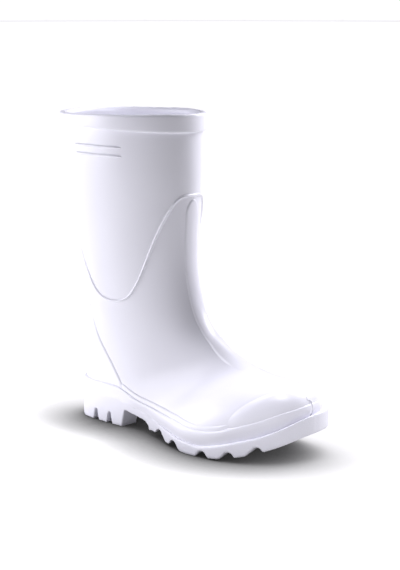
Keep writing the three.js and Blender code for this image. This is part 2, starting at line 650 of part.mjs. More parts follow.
const boot = new THREE.Group();
boot.add(
  makeMesh('upper', makeUpper(), 'upper'),
  makeMesh('outsole', makeOutsole(), 'sole'),
  makeMesh('insole', makeInsole(), 'insole'),
  makeMesh('rand', makeRand(), 'trim'),
  makeMesh('toe_cap', makeToeCap(), 'trim'),
  makeMesh('heel_rib', makeCounterRib(), 'trim'),
  makeMesh('foot_strip_outer', makeFootStrip(-1), 'trim'),
  makeMesh('foot_strip_inner', makeFootStrip(1), 'trim'),
  makeMesh('front_panel', makeFrontPanel(), 'trim'),
  makeMesh('shaft_piping', makePiping(), 'trim'),
  makeMesh('collar_band', makeCollarBand(), 'trim'),
);
for (const [name, side] of [['outer', -1], ['inner', 1]]) {
  for (const row of [0, 1]) {
    boot.add(makeMesh(`grip_rib_${name}_${row + 1}`, makeGripRib(side, row), 'trim'));
  }
}

// The origin is on the floor, under the middle of the whole boot.
const bounds = new THREE.Box3().setFromObject(boot);
const middle = bounds.getCenter(new THREE.Vector3());
boot.position.set(-middle.x, -middle.y, -bounds.min.z);

export default boot;
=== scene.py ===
# Rubber boot, right foot: white moulded PVC with raised trim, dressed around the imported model.
# Built in millimetres in the boot's own frame: back of the heel at x = 0, toe towards +x,
# outer side towards -y, floor at z = 0. MM and ORIGIN take it to the row's frame in metres.

import math

import bpy
import numpy as np
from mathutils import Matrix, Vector
from mathutils.bvhtree import BVHTree
from mathutils.interpolate import poly_3d_calc


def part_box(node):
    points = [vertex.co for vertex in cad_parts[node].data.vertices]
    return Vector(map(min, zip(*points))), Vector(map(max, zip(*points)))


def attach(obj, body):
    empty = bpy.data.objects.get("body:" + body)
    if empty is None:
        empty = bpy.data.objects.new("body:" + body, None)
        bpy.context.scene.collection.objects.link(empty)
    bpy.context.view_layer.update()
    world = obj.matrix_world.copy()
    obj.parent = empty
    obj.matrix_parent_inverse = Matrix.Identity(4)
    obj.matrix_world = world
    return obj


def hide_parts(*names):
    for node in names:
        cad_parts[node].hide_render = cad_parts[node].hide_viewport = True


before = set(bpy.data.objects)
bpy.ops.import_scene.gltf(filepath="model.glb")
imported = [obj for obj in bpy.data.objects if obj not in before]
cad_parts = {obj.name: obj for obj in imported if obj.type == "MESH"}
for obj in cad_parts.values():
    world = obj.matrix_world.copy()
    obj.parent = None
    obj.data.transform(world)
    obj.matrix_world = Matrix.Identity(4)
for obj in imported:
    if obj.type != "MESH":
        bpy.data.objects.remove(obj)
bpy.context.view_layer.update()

MM = 0.001

# Driving dimensions of the boot, as in the part.
LENGTH = 298.0
BALL_WIDTH = 115.0
HEIGHT = 315.0
INSTEP_HEIGHT = 143.0
COLLAR_LENGTH = 163.0
COLLAR_WIDTH = 110.0
COLLAR_TILT = 4.0
WALL = 2.4

# Sole.
HEEL_HEIGHT = 29.0
BALL_THICKNESS = 10.5
TOE_THICKNESS = 18.4
TOE_SPRING = 27.5
SPRING_TWIST = 0.18
ARCH_THICKNESS = 7.5
HEEL_BREAST = 78.0
BREAST_LEAN = 4.0
LUG_START = 120.0
LUG_DEPTH = 6.5
LUG_GAP = 15.0
LUG_ANGLE = 20.0
HEEL_SLOT_DEPTH = 12.0
HEEL_SLOT_WIDTH = 6.0
HEEL_HOLLOW_WIDTH = 30.0
HEEL_HOLLOW_DEPTH = 18.0
INSOLE_THICKNESS = 4.0

# Raised trim.
RAND_HEIGHT = 15.0
RAND_THICKNESS = 2.7
STRIP_HEIGHT = 4.3
STRIP_THICKNESS = 1.3
TOE_CAP_THICKNESS = 1.7
TOE_CAP_LENGTH = 28.0
TOE_CAP_SWEEP = 38.0
TOE_CAP_EDGE = 6.0
BAND_HEIGHT = 14.0
BAND_THICKNESS = 2.6
PANEL_WIDTH = 17.0
PANEL_THICKNESS = 1.1
PANEL_FLARE = 0.6
PANEL_END_ROWS = 7
PIPING_WIDTH = 4.2
PIPING_THICKNESS = 1.5
PIPING_LOW = 129.0
PIPING_HIGH = 238.0
COUNTER_RIB_WIDTH = 8.5
COUNTER_RIB_THICKNESS = 1.3
COUNTER_RIB_TOP = 122.0
COUNTER_RIB_REACH = 77.0
GRIP_RIB_LENGTH = 62.0
GRIP_RIB_WIDTH = 4.6
GRIP_RIB_THICKNESS = 1.5
GRIP_RIB_DROP = 31.0
GRIP_RIB_PITCH = 8.5
GRIP_RIB_PLACE = 0.258
PIPING_BLUR = 0.02         # share of the way round over which the piping's path is smoothed
PANEL_SIDES = (0.40, 0.60)     # places round the form between which the front panel is looked for
PANEL_EDGE = (-1.2, 1.4)   # from where to where, across its outline, it rises to its full thickness
PANEL_ROUNDING = 20        # its top is rounded over this part of its length: 1 / 20
PANEL_FADE = 4.2           # and its lower end fades out over 1 / 4.2 of it
CAP_START = 12.5           # section from which the toe cap is looked for
POLE_GAP = 0.02            # how far it stops short of the toe's pole, in sections
CAP_SIDES = (0.10, 0.90)   # places round the form between which it is looked for
CAP_STRAIGHT = 0.22        # share of the half width over which the cap's edge runs straight across
CAP_CURVE = 1.35           # power of its bend back from there
CAP_REACH = 1.05           # how far back it goes at the widest place, as a share of the sweep
HEEL_RIB_SLOPE = 3.2       # width of each of the heel rib's eased edges
STRIP_ENDS = (6, 12)       # how far the foot strip runs on under the heel rib and the toe cap
STRIP_FADES = (8, 14)      # over how much of its length it rises and sinks there
SLOT_FLARE = 0.22          # share of a slot's width by which its roof is narrower on each side
SLOT_FOOT = 4              # flares by which each side is wider at the cutter's lower edge
SLOT_ROOF = 0.6            # height of a slot's round roof, as a share of its half width
SINK = 0.35                # how far an overlay's edge dips into the surface that carries it
UPPER_GAP = 0.3            # between the upper's lower edge and the sole
HOLLOW_OVERRUN = 0.3       # how far the heel's hollow is cut past the heel's front face

# Fineness of the meshes: rows and columns, or points along a line.
FORM_GRID = (300, 300)
UPPER_GRID = (176, 144)
UPPER_ROW_SPREAD = 0.92    # below 1 it gathers the upper's rows towards the toe
PANEL_GRID = (330, 110)
CAP_GRID = (150, 230)
PIPING_POINTS = 520
GRIP_RIB_POINTS = 90
HEEL_RIB_POINTS = 220
BAND_POINTS = 360
STATION_STEPS = 18         # places round the foot to each point of the outline
SOLE_STEPS = 24            # the same for the outline of the sole's body
SOLE_SLICES = 190
SOLE_ACROSS = 13           # points across each slice
SOLE_VOXEL = 0.95          # fineness of the outsole's surface
SOLE_SMOOTHING = 7         # passes that round its edges

# Shaft sections, collar first: back and front heights as shares of the shaft, centre as a share of
# LENGTH, long and wide as shares of the collar.
SHAFT_ROWS = [
    # backUp, frontUp, centre, long, wide, pear
    (1.000, 1.000, 0.210, 1.000, 1.000, -0.05),
    (0.826, 0.837, 0.212, 0.997, 0.982, -0.05),
    (0.622, 0.645, 0.219, 0.972, 0.936, -0.05),
    (0.419, 0.459, 0.227, 0.923, 0.873, -0.06),
    (0.215, 0.285, 0.239, 0.862, 0.809, -0.08),
    (0.041, 0.134, 0.254, 0.819, 0.750, -0.10),
]

# Foot sections, ankle first: back and front as shares of LENGTH, their heights as shares of
# INSTEP_HEIGHT, outer and inner as shares of BALL_WIDTH, then the fullness of both halves and the pear.
FOOT_ROWS = [
    # back, backUp, front, frontUp, outer, inner, heelFull, topFull, pear
    (0.045, 0.874, 0.493, 1.000, 0.343, 0.339, 2.2, 2.00, -0.12),
    (0.039, 0.713, 0.518, 0.853, 0.330, 0.326, 2.2, 2.05, -0.15),
    (0.012, 0.524, 0.557, 0.745, 0.310, 0.305, 2.3, 2.10, -0.20),
    (0.010, 0.315, 0.604, 0.678, 0.290, 0.282, 2.2, 2.10, -0.25),
    (0.030, 0.140, 0.651, 0.622, 0.282, 0.268, 2.6, 2.10, -0.30),
    (0.151, 0.091, 0.695, 0.584, 0.292, 0.264, 2.9, 2.10, -0.32),
    (0.302, 0.084, 0.738, 0.559, 0.328, 0.272, 2.1, 2.10, -0.34),
    (0.453, 0.056, 0.779, 0.538, 0.432, 0.320, 2.3, 2.10, -0.35),
    (0.587, 0.021, 0.822, 0.521, 0.508, 0.380, 2.9, 2.10, -0.35),
    (0.705, 0.014, 0.862, 0.507, 0.492, 0.422, 3.8, 2.20, -0.35),
    (0.805, 0.056, 0.899, 0.493, 0.408, 0.396, 3.5, 2.30, -0.33),
    (0.879, 0.112, 0.933, 0.469, 0.306, 0.330, 3.3, 2.40, -0.30),
    (0.930, 0.168, 0.960, 0.427, 0.200, 0.238, 3.0, 2.50, -0.20),
    (0.957, 0.224, 0.973, 0.371, 0.093, 0.120, 2.6, 2.50, -0.10),
    (0.971, 0.294, 0.976, 0.315, 0.009, 0.009, 2.2, 2.20, 0.00),
]

# Outsole outline from the back of the heel along the outer side: shares of LENGTH and BALL_WIDTH.
OUTLINE = [
    (0.000, 0.000), (0.017, -0.157), (0.060, -0.261), (0.121, -0.296), (0.262, -0.313), (0.386, -0.339),
    (0.503, -0.443), (0.597, -0.522), (0.688, -0.543), (0.772, -0.522), (0.852, -0.443), (0.923, -0.330),
    (0.977, -0.174), (1.000, 0.000), (0.990, 0.180), (0.950, 0.340), (0.872, 0.417), (0.785, 0.457),
    (0.698, 0.443), (0.604, 0.391), (0.503, 0.330), (0.396, 0.287), (0.262, 0.287), (0.121, 0.287),
    (0.060, 0.252), (0.017, 0.148),
]

# Heights along the sole: shares of TOE_SPRING, HEEL_HEIGHT, BALL_THICKNESS, TOE_THICKNESS, RAND_HEIGHT.
SOLE_ROWS = [
    # at, spring, heel, ball, toe, rand
    (-0.10, 0.00, 1.00, 0.00, 0.00, 0.73),
    (0.22, 0.00, 1.00, 0.00, 0.00, 0.72),
    (0.31, 0.00, 0.79, 0.05, 0.00, 0.56),
    (0.40, 0.22, 0.35, 0.33, 0.00, 0.60),
    (0.48, 0.11, 0.14, 0.81, 0.00, 0.80),
    (0.54, 0.03, 0.05, 1.00, 0.00, 0.96),
    (0.58, 0.00, 0.03, 1.00, 0.00, 0.98),
    (0.66, 0.00, 0.00, 1.00, 0.00, 1.00),
    (0.73, 0.06, 0.00, 0.90, 0.19, 0.92),
    (0.80, 0.20, 0.00, 0.60, 0.46, 0.99),
    (0.87, 0.41, 0.00, 0.30, 0.65, 1.05),
    (0.93, 0.66, 0.00, 0.10, 0.84, 1.01),
    (1.00, 1.00, 0.00, 0.00, 1.00, 0.72),
    (1.10, 1.10, 0.00, 0.00, 1.02, 0.75),
]

# Heel rib seen from the side: shares of COUNTER_RIB_REACH and of its rise above the band.
COUNTER_LINE = [
    (-0.30, 1.03), (0.10, 1.00), (0.24, 0.93), (0.42, 0.78), (0.62, 0.50), (0.80, 0.26), (1.02, -0.05),
]

LUG_GAPS = [0.466, 0.548, 0.683, 0.785, 0.883]
HEEL_SLOTS = [0.129, 0.198]


# Camera, first of all: a lens and a place fitted to the photo's outline of the boot.

PHOTO_WIDTH, PHOTO_HEIGHT = 400, 570
CAMERA_AZIMUTH = math.radians(43.0)
CAMERA_ELEVATION = math.radians(10.7)
CAMERA_DISTANCE = 1634.8
CAMERA_TARGET = (141.2, 12.0, 147.0)
CAMERA_FOCUS = 1653.6      # focal length in pixels of the photo
SENSOR = 36.0


def origin_of_frame():
    """Where the boot's own origin lies in the row's frame, in millimetres."""
    low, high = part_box("outsole")
    outline = outline_points(8)
    return np.array([low.x / MM, low.y / MM - outline[:, 1].min(), low.z / MM])


def to_row(point):
    return Vector((np.asarray(point, float) + ORIGIN) * MM)


def make_camera():
    back = Vector((
        math.sin(CAMERA_AZIMUTH) * math.cos(CAMERA_ELEVATION),
        -math.cos(CAMERA_AZIMUTH) * math.cos(CAMERA_ELEVATION),
        math.sin(CAMERA_ELEVATION),
    ))
    data = bpy.data.cameras.new("camera")
    data.sensor_width = SENSOR
    data.lens = CAMERA_FOCUS / max(PHOTO_WIDTH, PHOTO_HEIGHT) * SENSOR
    camera = bpy.data.objects.new("camera", data)
    camera.location = to_row(CAMERA_TARGET) + back * CAMERA_DISTANCE * MM
    camera.rotation_mode = "QUATERNION"
    camera.rotation_quaternion = (-back).to_track_quat("-Z", "Y")
    bpy.context.scene.collection.objects.link(camera)
    bpy.context.scene.camera = camera


# Curves and tables.

def catmull(values, t):
    """Smooth value between the rows of a column, row 0 at t = 0, straight on past both ends."""
    values = np.asarray(values, float)
    last = len(values) - 1
    t = np.clip(np.asarray(t, float), 0, last)
    i = np.minimum(t.astype(int), last - 1)
    f = t - i
    here, following = values[i], values[i + 1]
    before = np.where(i > 0, values[np.maximum(i - 1, 0)], 2 * here - following)
    after = np.where(i + 2 <= last, values[np.minimum(i + 2, last)], 2 * following - here)
    square = 2 * before - 5 * here + 4 * following - after
    cube = 3 * here - before - 3 * following + after
    return 0.5 * (2 * here + (following - before) * f + square * f**2 + cube * f**3)


def catmull_at(table, index, at):
    """Smooth value of a column of a table whose first column places its rows."""
    places = np.array([row[0] for row in table])
    at = np.clip(np.asarray(at, float), places[0], places[-1])
    i = np.clip(np.searchsorted(places, at, side="right") - 1, 0, len(places) - 2)
    return catmull([row[index] for row in table], i + (at - places[i]) / (places[i + 1] - places[i]))


def smoothstep(x, low=0.0, high=1.0):
    x = np.clip((np.asarray(x, float) - low) / (high - low), 0, 1)
    return x * x * (3 - 2 * x)


def outline_points(steps):
    """Closed centripetal curve through the outline's points, steps to each."""
    corners = np.array([(a * LENGTH, s * BALL_WIDTH) for a, s in OUTLINE])
    count = len(corners)
    points = []
    for i in range(count):
        p = [corners[(i + k) % count] for k in (-1, 0, 1, 2)]
        knots = [0.0]
        for k in range(3):
            knots.append(knots[-1] + math.sqrt(np.linalg.norm(p[k + 1] - p[k])))
        for j in range(steps):
            u = knots[1] + (knots[2] - knots[1]) * j / steps
            a = [((knots[k + 1] - u) * p[k] + (u - knots[k]) * p[k + 1]) / (knots[k + 1] - knots[k])
                 for k in range(3)]
            b = [((knots[k + 2] - u) * a[k] + (u - knots[k]) * a[k + 1]) / (knots[k + 2] - knots[k])
                 for k in range(2)]
            points.append(((knots[2] - u) * b[0] + (u - knots[1]) * b[1]) / (knots[2] - knots[1]))
    return np.array(points)


def twisted(x, y):
    """Share of the length at which the sole's heights are read."""
    return (x + SPRING_TWIST * y) / LENGTH


def sole_under(at):
    return np.maximum(0, catmull_at(SOLE_ROWS, 1, at)) * TOE_SPRING


def sole_top(at):
    sizes = (TOE_SPRING, HEEL_HEIGHT, BALL_THICKNESS, TOE_THICKNESS)
    return sum(catmull_at(SOLE_ROWS, k + 1, at) * size for k, size in enumerate(sizes))


def rand_top(at):
    return sole_top(at) + catmull_at(SOLE_ROWS, 5, at) * RAND_HEIGHT


# The form: the upper's outer surface. t runs from the collar to the toe, v once round each section,
# 0 at the back or underside, 0.25 at the outer side, 0.5 at the front or top.

def make_sections():
    rows = []
    shaft = HEIGHT - INSTEP_HEIGHT
    for back_up, front_up, centre, long, wide, pear in SHAFT_ROWS:
        half = long * COLLAR_LENGTH / 2
        side = wide * COLLAR_WIDTH / 2
        rows.append((centre * LENGTH - half, INSTEP_HEIGHT + back_up * shaft, centre * LENGTH + half,
                     INSTEP_HEIGHT + front_up * shaft, side, side, 2.2, 2.0, pear))
    for back, back_up, front, front_up, outer, inner, heel_full, top_full, pear in FOOT_ROWS:
        rows.append((back * LENGTH, back_up * INSTEP_HEIGHT, front * LENGTH, front_up * INSTEP_HEIGHT,
                     outer * BALL_WIDTH, inner * BALL_WIDTH, heel_full, top_full, pear))
    return np.array(rows)


SECTIONS = make_sections()
LAST = len(SECTIONS) - 1
RIM_MIDDLE = (SECTIONS[0, 0] + SECTIONS[0, 2]) / 2
ORIGIN = origin_of_frame()


def surface(t, v):
    t, v = np.broadcast_arrays(np.asarray(t, float), np.asarray(v, float))
    back_x, back_z, front_x, front_z, outer, inner, heel_full, top_full, pear = (
        catmull(SECTIONS[:, k], t) for k in range(SECTIONS.shape[1]))
    to_front = -np.cos(2 * np.pi * v)
    to_side = np.sin(2 * np.pi * v)
    power = 2 / np.where(to_front < 0, heel_full, top_full)
    along = np.sign(to_front) * np.abs(to_front) ** power
    across = np.sign(to_side) * np.abs(to_side) ** power
    share = (1 + along + pear * (1 - along**2)) / 2
    x = back_x + (front_x - back_x) * share
    y = -np.where(to_side > 0, outer, inner) * across
    z = back_z + (front_z - back_z) * share
    rim = COLLAR_TILT * (x - RIM_MIDDLE) / COLLAR_LENGTH + rim_wave(v)
    return np.stack([x, y, z + rim * np.clip(1 - t, 0, 1) ** 2], -1)


def rim_wave(v):
    """The rim is trimmed by hand, so it isn't quite level."""
    turn = 2 * np.pi * v
    return 0.25 * np.sin(3 * turn + 0.8) + 0.18 * np.sin(7 * turn + 2.1) + 0.12 * np.sin(29 * turn)


def normal(t, v):
    dt, dv = 0.02, 0.004
    inside = np.clip(t, dt, LAST - 2 * dt)
    along = surface(inside + dt, v) - surface(inside - dt, v)
    around = surface(inside, v + dv) - surface(inside, v - dv)
    n = np.cross(along, around)
    return n / np.linalg.norm(n, axis=-1, keepdims=True)


def form(t, v, offset=0.0):
    t, v = np.broadcast_arrays(np.asarray(t, float), np.asarray(v, float))
    return surface(t, v) + normal(t, v) * np.asarray(offset)[..., None]


def row_at(v, height):
    """Row place t where the form has a given height at v, on the shaft."""
    v = np.asarray(v, float)
    low = np.zeros_like(v)
    high = np.full_like(v, len(SHAFT_ROWS) + 2.0)
    for _ in range(40):
        middle = (low + high) / 2
        above = surface(middle, v)[..., 2] > height
        low = np.where(above, middle, low)
        high = np.where(above, high, middle)
    return (low + high) / 2


class Form:
    """The form as a dense mesh that can be met by a ray or asked for its nearest point."""

    def __init__(self, rows, columns):
        t = np.linspace(0, LAST, rows)[:, None]
        v = np.arange(columns)[None, :] / columns
        t, v = np.broadcast_arrays(t, v)
        self.points = [Vector(p) for p in surface(t, v).reshape(-1, 3).tolist()]
        self.normals = [Vector(n) for n in normal(t, v).reshape(-1, 3).tolist()]
        quads = grid_faces(rows, columns, True)
        self.faces = np.concatenate([quads[:, [0, 1, 2]], quads[:, [0, 2, 3]]]).tolist()
        self.tree = BVHTree.FromPolygons(self.points, self.faces)

    def smooth(self, place, index):
        """Point and smooth normal of a place in a triangle."""
        corners = self.faces[index]
        weights = poly_3d_calc([self.points[k] for k in corners], place)
        out = sum((self.normals[k] * w for k, w in zip(corners, weights)), Vector())
        return np.array(place), np.array(out.normalized())

    def nearest(self, point):
        place, _, index, _ = self.tree.find_nearest(Vector(point))
        return self.smooth(place, index)

    def cast(self, start, direction):
        place, _, index, _ = self.tree.ray_cast(Vector(start), Vector(direction))
        return self.nearest(start) if place is None else self.smooth(place, index)


# Meshes.

def grid_faces(rows, columns, closed):
    """Quads of a grid of points, columns closed into a ring or not."""
    r = np.arange(rows - 1)[:, None]
    c = np.arange(columns if closed else columns - 1)[None, :]
    following = (c + 1) % columns
    return np.stack([r * columns + c, (r + 1) * columns + c, (r + 1) * columns + following,
                     r * columns + following], -1).reshape(-1, 4)


def add_piece(name, points, faces, material, slot, *nodes):
    """Smooth piece of points in millimetres, riding on the boot and standing for CAD nodes."""
    mesh = bpy.data.meshes.new(name)
    rows = ((np.asarray(points, float).reshape(-1, 3) + ORIGIN) * MM).tolist()
    mesh.from_pydata(rows, [], [list(f) for f in faces])
    mesh.validate()
    mesh.polygons.foreach_set("use_smooth", [True] * len(mesh.polygons))
    piece = bpy.data.objects.new(name, mesh)
    bpy.context.scene.collection.objects.link(piece)
    mesh.materials.append(material)
    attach(piece, "root")
    if nodes:
        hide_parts(*nodes)
    return piece


def used_only(points, faces):
    """Points and faces without the points that no face uses."""
    used, places = np.unique(faces, return_inverse=True)
    return points[used], places.reshape(faces.shape)


# Upper: one wall, open at the collar and underneath.

def make_upper(material):
    rows, columns = UPPER_GRID
    t = np.linspace(0, 1, rows)[:, None] ** UPPER_ROW_SPREAD * LAST
    v = np.arange(columns)[None, :] / columns
    t, v = np.broadcast_arrays(t, v)
    outside = form(t, v, np.zeros(t.shape)).reshape(-1, 3)
    inside = form(t, v, np.full(t.shape, -WALL)).reshape(-1, 3)
    floor_out = sole_top(twisted(outside[:, 0], outside[:, 1])) + UPPER_GAP
    floor_in = sole_top(twisted(inside[:, 0], inside[:, 1])) + UPPER_GAP
    above = outside[:, 2] > floor_out
    outside[:, 2] = np.maximum(outside[:, 2], floor_out)
    inside[:, 2] = np.maximum(inside[:, 2], floor_in)
    quads = grid_faces(rows, columns, True)
    quads = quads[above[quads].any(axis=1)]
    count = rows * columns
    edges = {}
    for quad in quads:
        for k in range(4):
            a, b = int(quad[k]), int(quad[(k + 1) % 4])
            if (b, a) in edges:
                del edges[(b, a)]
            else:
                edges[(a, b)] = True
    joins = np.array([(b, a, a + count, b + count) for a, b in edges])
    faces = np.concatenate([quads, quads[:, ::-1] + count, joins])
    points, faces = used_only(np.concatenate([outside, inside]), faces)
    return add_piece("upper_shell", points, faces, material, "upper", "upper")


# Overlays.

def ridge(name, path, closed, profile, scale, form_mesh, material, *nodes):
    """Raised line along points on the form. profile holds places across and heights, both in
    millimetres, and scale shrinks it at each point of the path."""
    count = len(path)
    step = np.arange(count)
    after = path[(step + 1) % count] if closed else path[np.minimum(step + 1, count - 1)]
    before = path[(step - 1) % count] if closed else path[np.maximum(step - 1, 0)]
    run = after - before
    run /= np.linalg.norm(run, axis=1, keepdims=True)
    points = np.zeros((count, len(profile), 3))
    for i in range(count):
        place, up = form_mesh.nearest(path[i])
        side = np.cross(up, run[i])
        side /= np.linalg.norm(side)
        for k, (across, height) in enumerate(profile):
            base, out = form_mesh.nearest(place + side * across * scale[i])
            rise = (height + SINK) * scale[i] - SINK
            points[i, k] = base + out * rise
    grid = points.transpose(1, 0, 2)
    faces = grid_faces(len(profile), count, closed)
    return add_piece(name, grid, faces, material, "trim", *nodes)


def bump_profile(width, height, edge, steps=5):
    """Profile of a raised line with a flat crown and eased edges."""
    half = width / 2
    left = [(-half + edge * k / steps, smoothstep(k / steps)) for k in range(steps + 1)]
    right = [(half - edge + edge * k / steps, smoothstep(1 - k / steps)) for k in range(steps + 1)]
    if half - edge < 1e-6:
        right = right[1:]
    return [(w, -SINK + (height + SINK) * float(h)) for w, h in left + right]


def piping_height(v):
    """Height of the shaft's piping at v: low at the sides, high at front and back."""
    away = np.abs(np.abs(v - 0.5) - 0.25) / 0.25
    front = np.abs(v - 0.5) < 0.25
    eased = np.where(front, smoothstep(away, 0, 0.85) ** 1.3, smoothstep(away) ** 1.5)
    return PIPING_LOW + (PIPING_HIGH - PIPING_LOW) * eased


def make_piping(form_mesh, material):
    v = np.arange(PIPING_POINTS) / PIPING_POINTS
    blur = np.linspace(-PIPING_BLUR, PIPING_BLUR, 9)
    height = np.mean([piping_height((v + step) % 1) for step in blur], 0)
    path = surface(row_at(v, height), v)
    profile = bump_profile(PIPING_WIDTH, PIPING_THICKNESS, PIPING_WIDTH / 2)
    scale = np.ones(len(path))
    ridge("shaft_piping_moulding", path, True, profile, scale, form_mesh, material, "shaft_piping")


def make_grip_ribs(form_mesh, material):
    reach = GRIP_RIB_LENGTH / (math.pi * COLLAR_LENGTH)
    along = np.linspace(-0.5, 0.5, GRIP_RIB_POINTS)
    scale = np.sqrt(np.clip(1 - (np.abs(along) * 2) ** 8, 0.0, 1))
    for side in ("outer", "inner"):
        for row in (1, 2):
            v = GRIP_RIB_PLACE + reach * along
            v = v if side == "outer" else 1 - v
            height = HEIGHT - GRIP_RIB_DROP - (row - 1) * GRIP_RIB_PITCH
            path = surface(row_at(v, height), v)
            profile = bump_profile(GRIP_RIB_WIDTH, GRIP_RIB_THICKNESS, GRIP_RIB_WIDTH / 2)
            name = f"grip_rib_{side}_{row}"
            ridge(name + "_moulding", path, False, profile, scale, form_mesh, material, name)


def counter_height(x):
    """Height of the heel rib's middle at x, in side view."""
    foot = rand_top(COUNTER_RIB_REACH / LENGTH)
    runs = np.array([run for run, _ in COUNTER_LINE]) * COUNTER_RIB_REACH
    rises = foot + np.array([up for _, up in COUNTER_LINE]) * (COUNTER_RIB_TOP - foot)
    i = np.clip(np.searchsorted(runs, x, side="right") - 1, 0, len(runs) - 2)
    return float(catmull(rises, i + (x - runs[i]) / (runs[i + 1] - runs[i])))


def make_heel_rib(form_mesh, material):
    """Rib from the band on one side, round the back of the boot, to the band on the other."""
    path = []
    for angle in np.linspace(-0.5 * np.pi, -1.5 * np.pi, HEEL_RIB_POINTS):
        outward = np.array([math.cos(angle), math.sin(angle), 0.0])
        low, high = HEEL_HEIGHT, COUNTER_RIB_TOP * 1.1
        for _ in range(16):
            z = (low + high) / 2
            start = np.array([COUNTER_RIB_REACH, 0, z]) + outward * BALL_WIDTH * 1.5
            place, _ = form_mesh.cast(start, -outward)
            if z > counter_height(place[0]):
                high = z
            else:
                low = z
        path.append(place)
    path = np.array(path)
    rise = np.clip((path[:, 2] - path[:, 2].min()) / (COUNTER_RIB_TOP - path[:, 2].min()), 0, 1)
    profile = bump_profile(COUNTER_RIB_WIDTH + 1.0, COUNTER_RIB_THICKNESS, HEEL_RIB_SLOPE)
    ridge("heel_rib_moulding", path, False, profile, 0.8 + 0.2 * rise, form_mesh, material, "heel_rib")


def patch(name, t_range, v_range, counts, height_of, material, *nodes):
    """Raised area of the form: height_of gives its height at each point, and what lies under the
    form is left out."""
    t = np.linspace(*t_range, counts[0])[:, None]
    v = np.linspace(*v_range, counts[1])[None, :]
    t, v = np.broadcast_arrays(t, v)
    height = height_of(surface(t, v), t, v)
    points = form(t, v, height).reshape(-1, 3)
    shown = height.reshape(-1) > -SINK * 0.98
    quads = grid_faces(counts[0], counts[1], False)
    points, faces = used_only(points, quads[shown[quads].any(axis=1)])
    return add_piece(name, points, faces, material, "trim", *nodes)


def panel_height(place, t, v):
    start = float(row_at(0.5, PIPING_HIGH - PIPING_WIDTH))
    end = LAST - PANEL_END_ROWS
    share = (t - start) / (end - start)
    half = PANEL_WIDTH / 2 * (1 + PANEL_FLARE * np.clip(share - 0.5, 0, 1) * 2)
    round_top = np.sqrt(1 - (1 - np.clip(share * PANEL_ROUNDING, 0, 1)) ** 2)
    edge = half * round_top - np.abs(place[..., 1])
    fade = smoothstep((1 - share) * PANEL_FADE) * (share > 0)
    return -SINK + (PANEL_THICKNESS + SINK) * smoothstep(edge, *PANEL_EDGE) * fade


def make_front_panel(material):
    start = float(row_at(0.5, PIPING_HIGH)) - 0.05
    end = LAST - PANEL_END_ROWS + 0.1
    return patch("front_panel_moulding", (start, end), PANEL_SIDES, PANEL_GRID, panel_height, material,
                 "front_panel")


def cap_edge(y):
    """x of the toe cap's edge at y: across the top of the foot, swept back at both sides."""
    sweep = np.maximum(0, np.abs(y) / (BALL_WIDTH / 2) - CAP_STRAIGHT) ** CAP_CURVE
    sweep = sweep / (1 - CAP_STRAIGHT) ** CAP_CURVE
    return LENGTH - TOE_CAP_LENGTH - CAP_REACH * TOE_CAP_SWEEP * sweep


def cap_height(place, t, v):
    slope = (cap_edge(place[..., 1] + 0.5) - cap_edge(place[..., 1] - 0.5))
    ahead = (place[..., 0] - cap_edge(place[..., 1])) / np.sqrt(1 + slope**2)
    return -SINK + (TOE_CAP_THICKNESS + SINK) * smoothstep(ahead, 0, TOE_CAP_EDGE)


def make_toe_cap(material):
    return patch("toe_cap_moulding", (CAP_START, LAST - POLE_GAP), CAP_SIDES, CAP_GRID, cap_height, material,
                 "toe_cap")


def make_collar_band(material):
    """Thick band round the opening, rolled over the rim."""
    # out, below the rim, share of the band's height
    profile = [
        (-WALL + 0.2, 2.6, 0), (-WALL + 0.1, 1.2, 0), (-WALL + 0.5, 0.2, 0), (-WALL + 1.4, -0.2, 0),
        (0.0, -0.3, 0), (1.2, -0.2, 0), (2.1, 0.3, 0), (BAND_THICKNESS, 1.3, 0),
        (BAND_THICKNESS + 0.1, 2.8, 0), (BAND_THICKNESS + 0.1, 0, 0.5), (BAND_THICKNESS + 0.1, -2.6, 1),
        (BAND_THICKNESS, -1.2, 1), (2.1, -0.3, 1), (1.3, 0.1, 1), (0.3, 0.3, 1), (-SINK, 0.3, 1),
    ]
    columns = BAND_POINTS
    v = np.arange(columns) / columns
    x = surface(0.0, v)[:, 0]
    tall = BAND_HEIGHT + 2 * COLLAR_TILT * (x - RIM_MIDDLE) / COLLAR_LENGTH
    drop_per_row = SECTIONS[0, 1] - SECTIONS[1, 1]
    rings = []
    for out, below, share in profile:
        depth = below + share * tall
        ring = form(np.clip(depth, 0, None) / drop_per_row, v, np.full(columns, out))
        ring[:, 2] += np.clip(-depth, 0, None)
        rings.append(ring)
    faces = grid_faces(len(profile), columns, True)
    return add_piece("collar_band_moulding", np.array(rings), faces, material, "trim", "collar_band")


